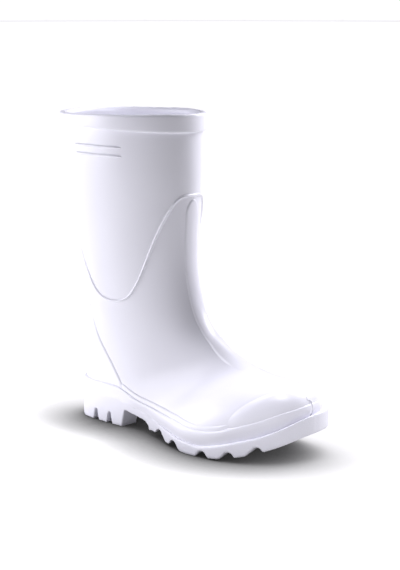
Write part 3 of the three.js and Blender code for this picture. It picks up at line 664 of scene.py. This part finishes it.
class Stations:
    """Places once round the foot, each with the form's points and normals up a column above it."""

    def __init__(self, steps, form_mesh):
        self.points = outline_points(steps)
        run = np.roll(self.points, -1, 0) - np.roll(self.points, 1, 0)
        run /= np.linalg.norm(run, axis=1, keepdims=True)
        self.outward = np.stack([run[:, 1], -run[:, 0]], 1)
        if ((self.points - self.points.mean(0)) * self.outward).sum() < 0:
            self.outward = -self.outward
        self.levels = np.linspace(1.0, INSTEP_HEIGHT * 0.7, 70)
        self.places = np.zeros((len(self.levels), len(self.points), 3))
        self.normals = np.zeros_like(self.places)
        for k, z in enumerate(self.levels):
            for i, (x, y) in enumerate(self.points):
                outward = np.array([*self.outward[i], 0.0])
                start = np.array([x, y, z]) + outward * BALL_WIDTH / 4
                self.places[k, i], self.normals[k, i] = form_mesh.cast(start, -outward)

    def meet(self, height_of, chosen=None):
        """Points and normals of the form where each column meets the height that height_of gives."""
        chosen = np.arange(len(self.points)) if chosen is None else np.array(chosen)
        place = np.concatenate([self.points[chosen], np.zeros((len(chosen), 1))], 1)
        for _ in range(5):
            z = height_of(twisted(place[:, 0], place[:, 1]))
            k = np.clip(np.searchsorted(self.levels, z) - 1, 0, len(self.levels) - 2)
            f = ((z - self.levels[k]) / (self.levels[k + 1] - self.levels[k]))[:, None]
            place = self.places[k, chosen] * (1 - f) + self.places[k + 1, chosen] * f
            out = self.normals[k, chosen] * (1 - f) + self.normals[k + 1, chosen] * f
        return place, out / np.linalg.norm(out, axis=1, keepdims=True)


def make_rand(stations, material):
    """Raised band round the foot, above the outsole's edge."""
    # out, above the sole, share of the band's height
    profile = [
        (-SINK, -0.5, 0), (RAND_THICKNESS, -0.45, 0), (RAND_THICKNESS + 0.75, -0.3, 0),
        (RAND_THICKNESS + 0.4, 0.3, 0), (RAND_THICKNESS + 0.2, 0.8, 0),
        (RAND_THICKNESS + 0.15, 0, 0.3), (RAND_THICKNESS + 0.15, 0, 0.6), (RAND_THICKNESS + 0.05, -1.5, 1),
        (RAND_THICKNESS - 0.3, -0.7, 1), (RAND_THICKNESS - 1.0, -0.15, 1), (RAND_THICKNESS - 1.8, 0.05, 1),
        (0.5, 0.2, 1), (0.05, 0.6, 1), (-SINK, 1.4, 1),
    ]
    points = []
    for out, above, share in profile:
        place, up = stations.meet(lambda at: sole_top(at) + above + share * (rand_top(at) - sole_top(at)))
        points.append(place + up * out)
    faces = grid_faces(len(profile), len(stations.points), True)
    return add_piece("rand_moulding", np.array(points), faces, material, "trim", "rand")


def make_foot_strip(name, side, stations, material):
    """Low step above the band on one side, from the heel rib to the toe cap."""
    # out, above the band's top
    profile = [(STRIP_THICKNESS, -1.5), (STRIP_THICKNESS, 1.2), (STRIP_THICKNESS, STRIP_HEIGHT - 1.2),
               (STRIP_THICKNESS * 0.85, STRIP_HEIGHT - 0.5), (STRIP_THICKNESS * 0.45, STRIP_HEIGHT),
               (STRIP_THICKNESS * 0.1, STRIP_HEIGHT + 0.3), (-SINK, STRIP_HEIGHT + 0.8)]
    start = COUNTER_RIB_REACH - STRIP_ENDS[0]
    end = LENGTH - TOE_CAP_LENGTH - TOE_CAP_SWEEP + STRIP_ENDS[1]
    chosen = [i for i, (x, y) in enumerate(stations.points) if start < x < end and y * side > 0]
    x = stations.points[chosen, 0]
    fade = (smoothstep(x - start, 0, STRIP_FADES[0]) * smoothstep(end - x, 0, STRIP_FADES[1]))[:, None]
    points = []
    for out, above in profile:
        place, up = stations.meet(lambda at: rand_top(at) + above, chosen)
        points.append(place + up * ((out + SINK) * fade - SINK))
    faces = grid_faces(len(profile), len(chosen), False)
    return add_piece(name + "_moulding", np.array(points), faces, material, "trim", name)


def make_toe_seam(stations, material):
    """Fine parting line down the middle of the toe, over cap and band."""
    tip = int(stations.points[:, 0].argmax())
    band_top = float(rand_top(1.0))
    t = np.linspace(LAST - 3.3, LAST - 0.7, 70)
    over_cap = surface(t, 0.5)
    out_cap = normal(t, np.full(t.shape, 0.5))
    kept = over_cap[:, 2] > band_top + 1.0
    rise = np.linspace(band_top + 0.4, float(sole_top(1.0)) + 0.6, 40)
    over_band = np.stack([np.interp(rise, stations.levels, stations.places[:, tip, k]) for k in range(3)], 1)
    out_band = np.stack([np.interp(rise, stations.levels, stations.normals[:, tip, k]) for k in range(3)], 1)
    place = np.concatenate([over_cap[kept], over_band])
    out = np.concatenate([out_cap[kept], out_band])
    lift = TOE_CAP_THICKNESS + (RAND_THICKNESS + 0.15 - TOE_CAP_THICKNESS) * smoothstep(
        np.arange(len(place)), kept.sum() - 2, kept.sum() + 3)
    start = smoothstep(np.arange(len(place)), 0, 12)
    profile = [(-0.95, -0.25), (-0.4, 0.2), (0.0, 0.3), (0.4, 0.2), (0.95, -0.25)]
    side = np.array([0.0, 1.0, 0.0])
    rings = [place + out * (lift - 0.3 + (height + 0.3) * start)[:, None] + side * across
             for across, height in profile]
    faces = grid_faces(len(profile), len(place), False)
    return add_piece("toe_seam", np.array(rings), faces, material, "trim")


# Outsole and insole.

def solid_prism(outline, low, high):
    """Points and faces of an upright prism of a plan outline."""
    count = len(outline)
    bottom = [(x, y, low) for x, y in outline]
    top = [(x, y, high) for x, y in outline]
    faces = [tuple(range(count - 1, -1, -1)), tuple(range(count, 2 * count))]
    faces += [(k, (k + 1) % count, count + (k + 1) % count, count + k) for k in range(count)]
    return bottom + top, faces


def side_prism(outline, y_low, y_high):
    """Points and faces of a prism across the boot, from a side view outline of x and z."""
    points, faces = solid_prism(outline, y_low, y_high)
    return [(x, y, z) for x, z, y in points], faces


def plain_object(name, points, faces):
    mesh = bpy.data.meshes.new(name)
    mesh.from_pydata([tuple(p) for p in points], [], [tuple(int(k) for k in f) for f in faces])
    mesh.validate()
    made = bpy.data.objects.new(name, mesh)
    bpy.context.scene.collection.objects.link(made)
    bpy.context.view_layer.objects.active = made
    bpy.ops.object.select_all(action="DESELECT")
    made.select_set(True)
    bpy.ops.object.mode_set(mode="EDIT")
    bpy.ops.mesh.select_all(action="SELECT")
    bpy.ops.mesh.normals_make_consistent(inside=False)
    bpy.ops.object.mode_set(mode="OBJECT")
    return made


def sole_body():
    """Sole before its cuts: slices across the boot, closed at both ends."""
    outline = outline_points(SOLE_STEPS)
    tip = int(outline[:, 0].argmax())
    outer, inner = outline[:tip + 1], np.concatenate([outline[tip:], outline[:1]])[::-1]
    turns = np.linspace(0, np.pi, SOLE_SLICES)
    x = LENGTH * (1 - np.cos(turns)) / 2
    x = np.clip(x, outline[:, 0].min() + 0.02, outline[:, 0].max() - 0.02)
    low_y = np.interp(x, outer[:, 0], outer[:, 1])
    high_y = np.interp(x, inner[:, 0], inner[:, 1])
    across = np.linspace(0, 1, SOLE_ACROSS)
    rings = []
    for k in range(len(x)):
        y = low_y[k] + (high_y[k] - low_y[k]) * across
        at = twisted(x[k], y)
        top = np.stack([np.full_like(y, x[k]), y, sole_top(at)], 1)
        under = np.stack([np.full_like(y, x[k]), y, sole_under(at)], 1)[::-1]
        rings.append(np.concatenate([top, under]))
    points = np.array(rings).reshape(-1, 3)
    ring = 2 * len(across)
    faces = grid_faces(len(x), ring, True).tolist()
    faces.append(list(range(ring)))
    faces.append(list(range((len(x) - 1) * ring, len(x) * ring))[::-1])
    return plain_object("sole_body", points, faces)


def slot_outline(x, width, depth, floor):
    """Side view of a slot across the sole: wide at the floor, with a round roof."""
    half = width / 2
    flare = SLOT_FLARE * width
    roof = half - flare
    arc = np.linspace(0, np.pi, 9)
    foot = half + SLOT_FOOT * flare
    points = [(x - foot, floor - 2 * depth), (x + foot, floor - 2 * depth)]
    rise = SLOT_ROOF * roof
    points += [(x + roof * math.cos(a), floor + depth - rise + rise * math.sin(a)) for a in arc]
    return points


def lug_gap(share, side):
    """Gap between two lugs on one side of the sole, swept forward from the middle."""
    edge = side * BALL_WIDTH / 3
    floor = float(sole_under(share + SPRING_TWIST * edge / LENGTH))
    points, faces = side_prism(slot_outline(0, LUG_GAP, LUG_DEPTH, floor), 0, side * BALL_WIDTH)
    turn = -side * math.radians(LUG_ANGLE)
    middle = share * LENGTH - abs(edge) * math.tan(math.radians(LUG_ANGLE))
    moved = [(x * math.cos(turn) - y * math.sin(turn) + middle, x * math.sin(turn) + y * math.cos(turn), z)
             for x, y, z in points]
    return moved, faces


def arch_void():
    """Space under the arch, from the heel's leaning front face to the first lug."""
    start = HEEL_BREAST + BREAST_LEAN
    steps = 16
    roof = []
    for k in range(steps + 1):
        x = start + (LUG_START - start) * k / steps
        ease = min(1.0, 0.72 + (steps - k) / 10)
        roof.append((x, ease * (float(sole_top(x / LENGTH)) - ARCH_THICKNESS)))
    outline = [(LUG_START, -HEEL_HEIGHT)] + roof[::-1] + [(HEEL_BREAST, 0), (HEEL_BREAST, -HEEL_HEIGHT)]
    return side_prism(outline, -BALL_WIDTH, BALL_WIDTH)


def heel_hollow():
    half = HEEL_HOLLOW_WIDTH / 2
    back = HEEL_SLOTS[0] * LENGTH - HEEL_SLOT_WIDTH
    front = HEEL_BREAST + BREAST_LEAN + HOLLOW_OVERRUN
    return solid_prism([(back, -half), (front, -half), (front, half), (back, half)], -HEEL_HEIGHT,
                       HEEL_HOLLOW_DEPTH)


def apply_modifiers(piece):
    graph = bpy.context.evaluated_depsgraph_get()
    made = bpy.data.meshes.new_from_object(piece.evaluated_get(graph))
    piece.modifiers.clear()
    piece.data = made


def make_outsole(material):
    """Heel, arch, lugs and toe bumper in one, with moulded, softly rounded edges."""
    body = sole_body()
    cuts = [arch_void(), heel_hollow()]
    cuts += [lug_gap(share, side) for share in LUG_GAPS for side in (-1, 1)]
    cuts += [side_prism(slot_outline(share * LENGTH, HEEL_SLOT_WIDTH, HEEL_SLOT_DEPTH, 0),
                        -BALL_WIDTH, BALL_WIDTH) for share in HEEL_SLOTS]
    for k, (points, faces) in enumerate(cuts):
        cutter = plain_object(f"cutter_{k}", points, faces)
        cut = body.modifiers.new("cut", "BOOLEAN")
        cut.operation = "DIFFERENCE"
        cut.solver = "EXACT"
        cut.object = cutter
        apply_modifiers(body)
        bpy.data.objects.remove(cutter)
    remesh = body.modifiers.new("remesh", "REMESH")
    remesh.mode = "VOXEL"
    remesh.voxel_size = SOLE_VOXEL
    smooth = body.modifiers.new("smooth", "SMOOTH")
    smooth.factor = 0.5
    smooth.iterations = SOLE_SMOOTHING
    apply_modifiers(body)
    mesh = body.data
    count = len(mesh.vertices)
    points = np.zeros(count * 3, np.float32)
    mesh.vertices.foreach_get("co", points)
    points = points.reshape(-1, 3).astype(float)
    points[:, 2] = np.maximum(points[:, 2], 0)
    faces = [tuple(p.vertices) for p in mesh.polygons]
    bpy.data.objects.remove(body)
    return add_piece("outsole_moulding", points, faces, material, "sole", "outsole")


def make_insole(stations, material):
    """Loose footbed: a thin slab with a rounded edge, following the inside of the wall."""
    # in from the wall's outside, above the sole, how far the ring has shrunk to the middle
    profile = [(WALL + 0.6, 0.5, 0), (WALL + 0.4, 2.0, 0), (WALL + 0.4, 3.4, 0), (WALL + 0.9, 4.2, 0),
               (WALL + 1.8, 4.5, 0), (WALL + 1.8, 4.5, 0.15), (WALL + 1.8, 4.5, 0.4), (WALL + 1.8, 4.5, 0.7),
               (WALL + 1.8, 4.5, 0.97)]
    wall, out = stations.meet(lambda at: sole_top(at) + INSOLE_THICKNESS)
    rings = []
    for inward, above, shrink in profile:
        place = wall - out * inward
        spine = LENGTH * 0.16 + place[:, 0] * 0.68
        x = place[:, 0] + (spine - place[:, 0]) * shrink
        y = place[:, 1] * (1 - shrink)
        rings.append(np.stack([x, y, sole_top(twisted(x, y)) + above], 1))
    faces = grid_faces(len(profile), len(stations.points), True)
    return add_piece("insole_footbed", np.array(rings), faces, material, "insole", "insole")


# Materials.

def node_material(name):
    material = bpy.data.materials.new(name)
    material.use_nodes = True
    nodes, links = material.node_tree.nodes, material.node_tree.links
    return material, nodes, links, nodes["Principled BSDF"]


def set_inputs(node, **values):
    """Set inputs by name, with an underscore for each space."""
    for name, value in values.items():
        node.inputs[name.replace("_", " ")].default_value = value


def noise(nodes, links, coordinates, scale, detail):
    made = nodes.new("ShaderNodeTexNoise")
    set_inputs(made, Scale=scale, Detail=detail)
    links.new(coordinates.outputs["Object"], made.inputs["Vector"])
    return made.outputs["Fac"]


def math_node(nodes, links, operation, first, second):
    """Two values taken together. The second is a number or comes from another node."""
    made = nodes.new("ShaderNodeMath")
    made.operation = operation
    links.new(first, made.inputs[0])
    if isinstance(second, float):
        made.inputs[1].default_value = second
    else:
        links.new(second, made.inputs[1])
    return made.outputs["Value"]


PVC_FINISHES = [
    # name, colour, shade, roughness, grain, coat
    ("pvc_white", (0.87, 0.865, 0.94), (0.85, 0.845, 0.92), 0.36, 0.10, 0.15),
    ("pvc_trim", (0.875, 0.87, 0.945), (0.855, 0.85, 0.925), 0.36, 0.10, 0.15),
    ("pvc_sole", (0.865, 0.86, 0.935), (0.83, 0.825, 0.90), 0.46, 0.30, 0.05),
]


def moulded_pvc(name, colour, shade, roughness, grain, coat):
    """White PVC: faint colour change, fine orange peel, soft waves of the mould, uneven gloss."""
    material, nodes, links, shader = node_material(name)
    coordinates = nodes.new("ShaderNodeTexCoord")
    cloudy = noise(nodes, links, coordinates, 14, 3)
    tint = nodes.new("ShaderNodeValToRGB")
    tint.color_ramp.elements[0].position = 0.30
    tint.color_ramp.elements[0].color = (*shade, 1)
    tint.color_ramp.elements[1].position = 0.62
    tint.color_ramp.elements[1].color = (*colour, 1)
    links.new(cloudy, tint.inputs["Fac"])
    links.new(tint.outputs["Color"], shader.inputs["Base Color"])
    gloss = nodes.new("ShaderNodeMapRange")
    set_inputs(gloss, To_Min=roughness - 0.06, To_Max=roughness + 0.08)
    links.new(noise(nodes, links, coordinates, 60, 4), gloss.inputs["Value"])
    links.new(gloss.outputs["Result"], shader.inputs["Roughness"])
    peel = nodes.new("ShaderNodeBump")
    set_inputs(peel, Strength=grain, Distance=0.0004)
    links.new(noise(nodes, links, coordinates, 700, 3), peel.inputs["Height"])
    waves = nodes.new("ShaderNodeBump")
    set_inputs(waves, Strength=0.25, Distance=0.002)
    links.new(noise(nodes, links, coordinates, 22, 1), waves.inputs["Height"])
    links.new(peel.outputs["Normal"], waves.inputs["Normal"])
    links.new(waves.outputs["Normal"], shader.inputs["Normal"])
    set_inputs(shader, Coat_Weight=coat, Coat_Roughness=0.25, Specular_IOR_Level=0.45)
    return material


def insole_cloth():
    """Grey-white woven cloth of the footbed."""
    material, nodes, links, shader = node_material("insole_cloth")
    coordinates = nodes.new("ShaderNodeTexCoord")
    threads = []
    for axis in ("X", "Y"):
        wave = nodes.new("ShaderNodeTexWave")
        wave.wave_type = "BANDS"
        wave.bands_direction = axis
        set_inputs(wave, Scale=260, Distortion=0.6)
        links.new(coordinates.outputs["Object"], wave.inputs["Vector"])
        threads.append(wave)
    weave = math_node(nodes, links, "MAXIMUM", *(wave.outputs["Fac"] for wave in threads))
    tint = nodes.new("ShaderNodeValToRGB")
    tint.color_ramp.elements[0].color = (0.42, 0.42, 0.45, 1)
    tint.color_ramp.elements[1].color = (0.66, 0.66, 0.69, 1)
    links.new(weave, tint.inputs["Fac"])
    links.new(tint.outputs["Color"], shader.inputs["Base Color"])
    bump = nodes.new("ShaderNodeBump")
    set_inputs(bump, Strength=0.5, Distance=0.0004)
    links.new(weave, bump.inputs["Height"])
    links.new(bump.outputs["Normal"], shader.inputs["Normal"])
    set_inputs(shader, Roughness=0.9, Sheen_Weight=0.2)
    return material


# Floor and light.

FLOOR_REACH = 15.0         # metres from the boot to the floor's edge
WALL_OF_SWEEP = 1.05       # height of the low bright wall that closes the floor far away
FLOOR_NEAR, FLOOR_FAR = 0.0, 0.20    # metres from the boot's middle: lit floor turns into bright sweep
FLOOR_STRETCH = 1.5        # how much sooner it does so across the boot
FLOOR_FRONT = 0.35         # metres in front of the boot, from where the sweep's glow is dimmed: painted shade
FLOOR_DIM = 0.60           # what is left of its light twice as far in front
SHADOW_REACH = 0.055       # metres that the painted soft contact shadow spreads
SHADOW_LEAN = 0.5          # how far it leans to the front of the picture, and as much to its left
SHADOW_DEPTH = 1.9         # power that the painted shadow is raised to: more is darker
FLOOR_GAP = 0.0002         # how far the floor lies under the sole
FLOOR_MIDDLE = (-0.02, 0, 0)
FLOOR_COLOUR = (1.0, 0.99, 1.02)
FLOOR_BLEND = (("Emission Strength", 0.75, 1.03), ("Base Color", 0.30, 0.06))    # near, far
FRONT = (math.sin(CAMERA_AZIMUTH), -math.cos(CAMERA_AZIMUTH), 0)    # towards the front of the picture


def smooth_range(nodes, links, value, low, high, at_low, at_high):
    """Eased change from one number to another, as a value goes from low to high."""
    made = nodes.new("ShaderNodeMapRange")
    made.interpolation_type = "SMOOTHSTEP"
    set_inputs(made, From_Min=low, From_Max=high, To_Min=at_low, To_Max=at_high)
    links.new(value, made.inputs["Value"])
    return made.outputs["Result"]


def painted_contact_shadow(nodes, links):
    """Painted soft shadow near the boot, darkening the floor's colour and glow, leaning to the front and the
    left of the picture.
    """
    contact = nodes.new("ShaderNodeAmbientOcclusion")
    contact.samples = 16
    set_inputs(contact, Distance=SHADOW_REACH)
    lean = nodes.new("ShaderNodeCombineXYZ")
    set_inputs(lean, X=(-FRONT[1] - FRONT[0]) * SHADOW_LEAN, Y=(FRONT[0] - FRONT[1]) * SHADOW_LEAN, Z=1.0)
    unit = nodes.new("ShaderNodeVectorMath")
    unit.operation = "NORMALIZE"
    links.new(lean.outputs["Vector"], unit.inputs[0])
    links.new(unit.outputs["Vector"], contact.inputs["Normal"])
    return math_node(nodes, links, "POWER", contact.outputs["AO"], SHADOW_DEPTH)


def floor_white():
    """White floor: lit near the boot and glowing there too, brighter by itself farther off, with a painted
    shadow close round the boot and painted dimming well in front of it.
    """
    material, nodes, links, shader = node_material("floor_white")
    geometry = nodes.new("ShaderNodeNewGeometry")
    stretched = nodes.new("ShaderNodeMapping")
    set_inputs(stretched, Location=FLOOR_MIDDLE, Scale=(1, FLOOR_STRETCH, 1))
    links.new(geometry.outputs["Position"], stretched.inputs["Vector"])
    distance = nodes.new("ShaderNodeVectorMath")
    distance.operation = "LENGTH"
    links.new(stretched.outputs["Vector"], distance.inputs[0])
    forward = nodes.new("ShaderNodeVectorMath")
    forward.operation = "DOT_PRODUCT"
    forward.inputs[1].default_value = FRONT
    links.new(geometry.outputs["Position"], forward.inputs[0])
    # Painted shade: the floor's colour and glow are darkened well in front of the boot and, by the painted
    # contact shadow, close round it.
    dim = smooth_range(nodes, links, forward.outputs["Value"], FLOOR_FRONT, FLOOR_FRONT * 2, 1.0, FLOOR_DIM)
    lit = math_node(nodes, links, "MULTIPLY", dim, painted_contact_shadow(nodes, links))
    for socket, near, far in FLOOR_BLEND:
        blend = smooth_range(nodes, links, distance.outputs["Value"], FLOOR_NEAR, FLOOR_FAR, near, far)
        links.new(math_node(nodes, links, "MULTIPLY", blend, lit), shader.inputs[socket])
    set_inputs(shader, Emission_Color=(*FLOOR_COLOUR, 1), Roughness=0.9, Specular_IOR_Level=0.0)
    return material


def make_floor():
    """White studio floor and the low wall that closes it far away."""
    material = floor_white()
    bpy.ops.mesh.primitive_plane_add(size=2 * FLOOR_REACH, location=(0, 0, -FLOOR_GAP))
    floor = bpy.context.active_object
    floor.name = "floor"
    floor.data.materials.append(material)
    bpy.ops.mesh.primitive_cylinder_add(vertices=96, radius=FLOOR_REACH * 0.95, depth=WALL_OF_SWEEP,
                                        end_fill_type="NOTHING", location=(0, 0, WALL_OF_SWEEP / 2))
    sweep = bpy.context.active_object
    sweep.name = "sweep"
    sweep.data.materials.append(material)


LIGHT_COLOUR = (0.94, 0.935, 1.0)
LIGHT_TARGET = (0, 0, 0.15)
SPOT_RADIUS = 0.04
WORLD_COLOUR = (0.93, 0.93, 1.0)
WORLD_STRENGTH = 0.03
AREA_LIGHTS = [
    # name, azimuth, elevation, distance, width, height, power
    ("key_left", -97, 12, 1.6, 1.5, 1.2, 25),
    ("top_back", 176, 78, 1.6, 1.6, 1.6, 10),
    ("rim_right", 119, 38, 1.5, 0.6, 1.0, 25),
]
SPOT_LIGHTS = [
    # name, azimuth, elevation, distance, target, half angle, power
    ("foot_fill", 12, 68, 1.2, (0.120, -0.05, 0.035), 6.0, 34),
    ("heel_fill", -60, 20, 1.2, (-0.11, -0.03, 0.035), 4.0, 22),
    ("collar_fill", 0, 35, 1.2, (-0.150, 0.028, 0.312), 2.6, 44),
]


def aim(name, data, azimuth, elevation, distance, target):
    """Place a light that looks at target. Azimuth is counted from the camera's, to its right."""
    a = CAMERA_AZIMUTH + math.radians(azimuth)
    e = math.radians(elevation)
    back = Vector((math.sin(a) * math.cos(e), -math.cos(a) * math.cos(e), math.sin(e)))
    light = bpy.data.objects.new(name, data)
    light.location = Vector(target) + back * distance
    light.rotation_mode = "QUATERNION"
    light.rotation_quaternion = (-back).to_track_quat("-Z", "Y")
    bpy.context.scene.collection.objects.link(light)


def area_light(name, azimuth, elevation, distance, width, height, power):
    data = bpy.data.lights.new(name, "AREA")
    data.shape = "RECTANGLE"
    data.size, data.size_y = width, height
    data.energy = power
    data.color = LIGHT_COLOUR
    aim(name, data, azimuth, elevation, distance, LIGHT_TARGET)


def spot_light(name, azimuth, elevation, distance, target, half_angle, power):
    data = bpy.data.lights.new(name, "SPOT")
    data.spot_size = math.radians(2 * half_angle)
    data.spot_blend = 1.0
    data.shadow_soft_size = SPOT_RADIUS
    data.energy = power
    data.color = LIGHT_COLOUR
    aim(name, data, azimuth, elevation, distance, target)


def make_light():
    world = bpy.data.worlds.new("studio")
    world.use_nodes = True
    background = world.node_tree.nodes["Background"]
    set_inputs(background, Color=(*WORLD_COLOUR, 1), Strength=WORLD_STRENGTH)
    for light in AREA_LIGHTS:
        area_light(*light)
    for light in SPOT_LIGHTS:
        spot_light(*light)
    bpy.context.scene.view_settings.view_transform = "Standard"
    bpy.context.scene.view_settings.look = "None"


def main():
    make_camera()
    white, trim, sole = (moulded_pvc(*finish) for finish in PVC_FINISHES)
    form_mesh = Form(*FORM_GRID)
    stations = Stations(STATION_STEPS, form_mesh)
    make_upper(white)
    make_outsole(sole)
    make_insole(stations, insole_cloth())
    make_rand(stations, trim)
    make_toe_cap(trim)
    make_heel_rib(form_mesh, trim)
    make_foot_strip("foot_strip_outer", -1, stations, trim)
    make_foot_strip("foot_strip_inner", 1, stations, trim)
    make_front_panel(trim)
    make_piping(form_mesh, trim)
    make_collar_band(trim)
    make_grip_ribs(form_mesh, trim)
    make_toe_seam(stations, trim)
    make_floor()
    make_light()


main()
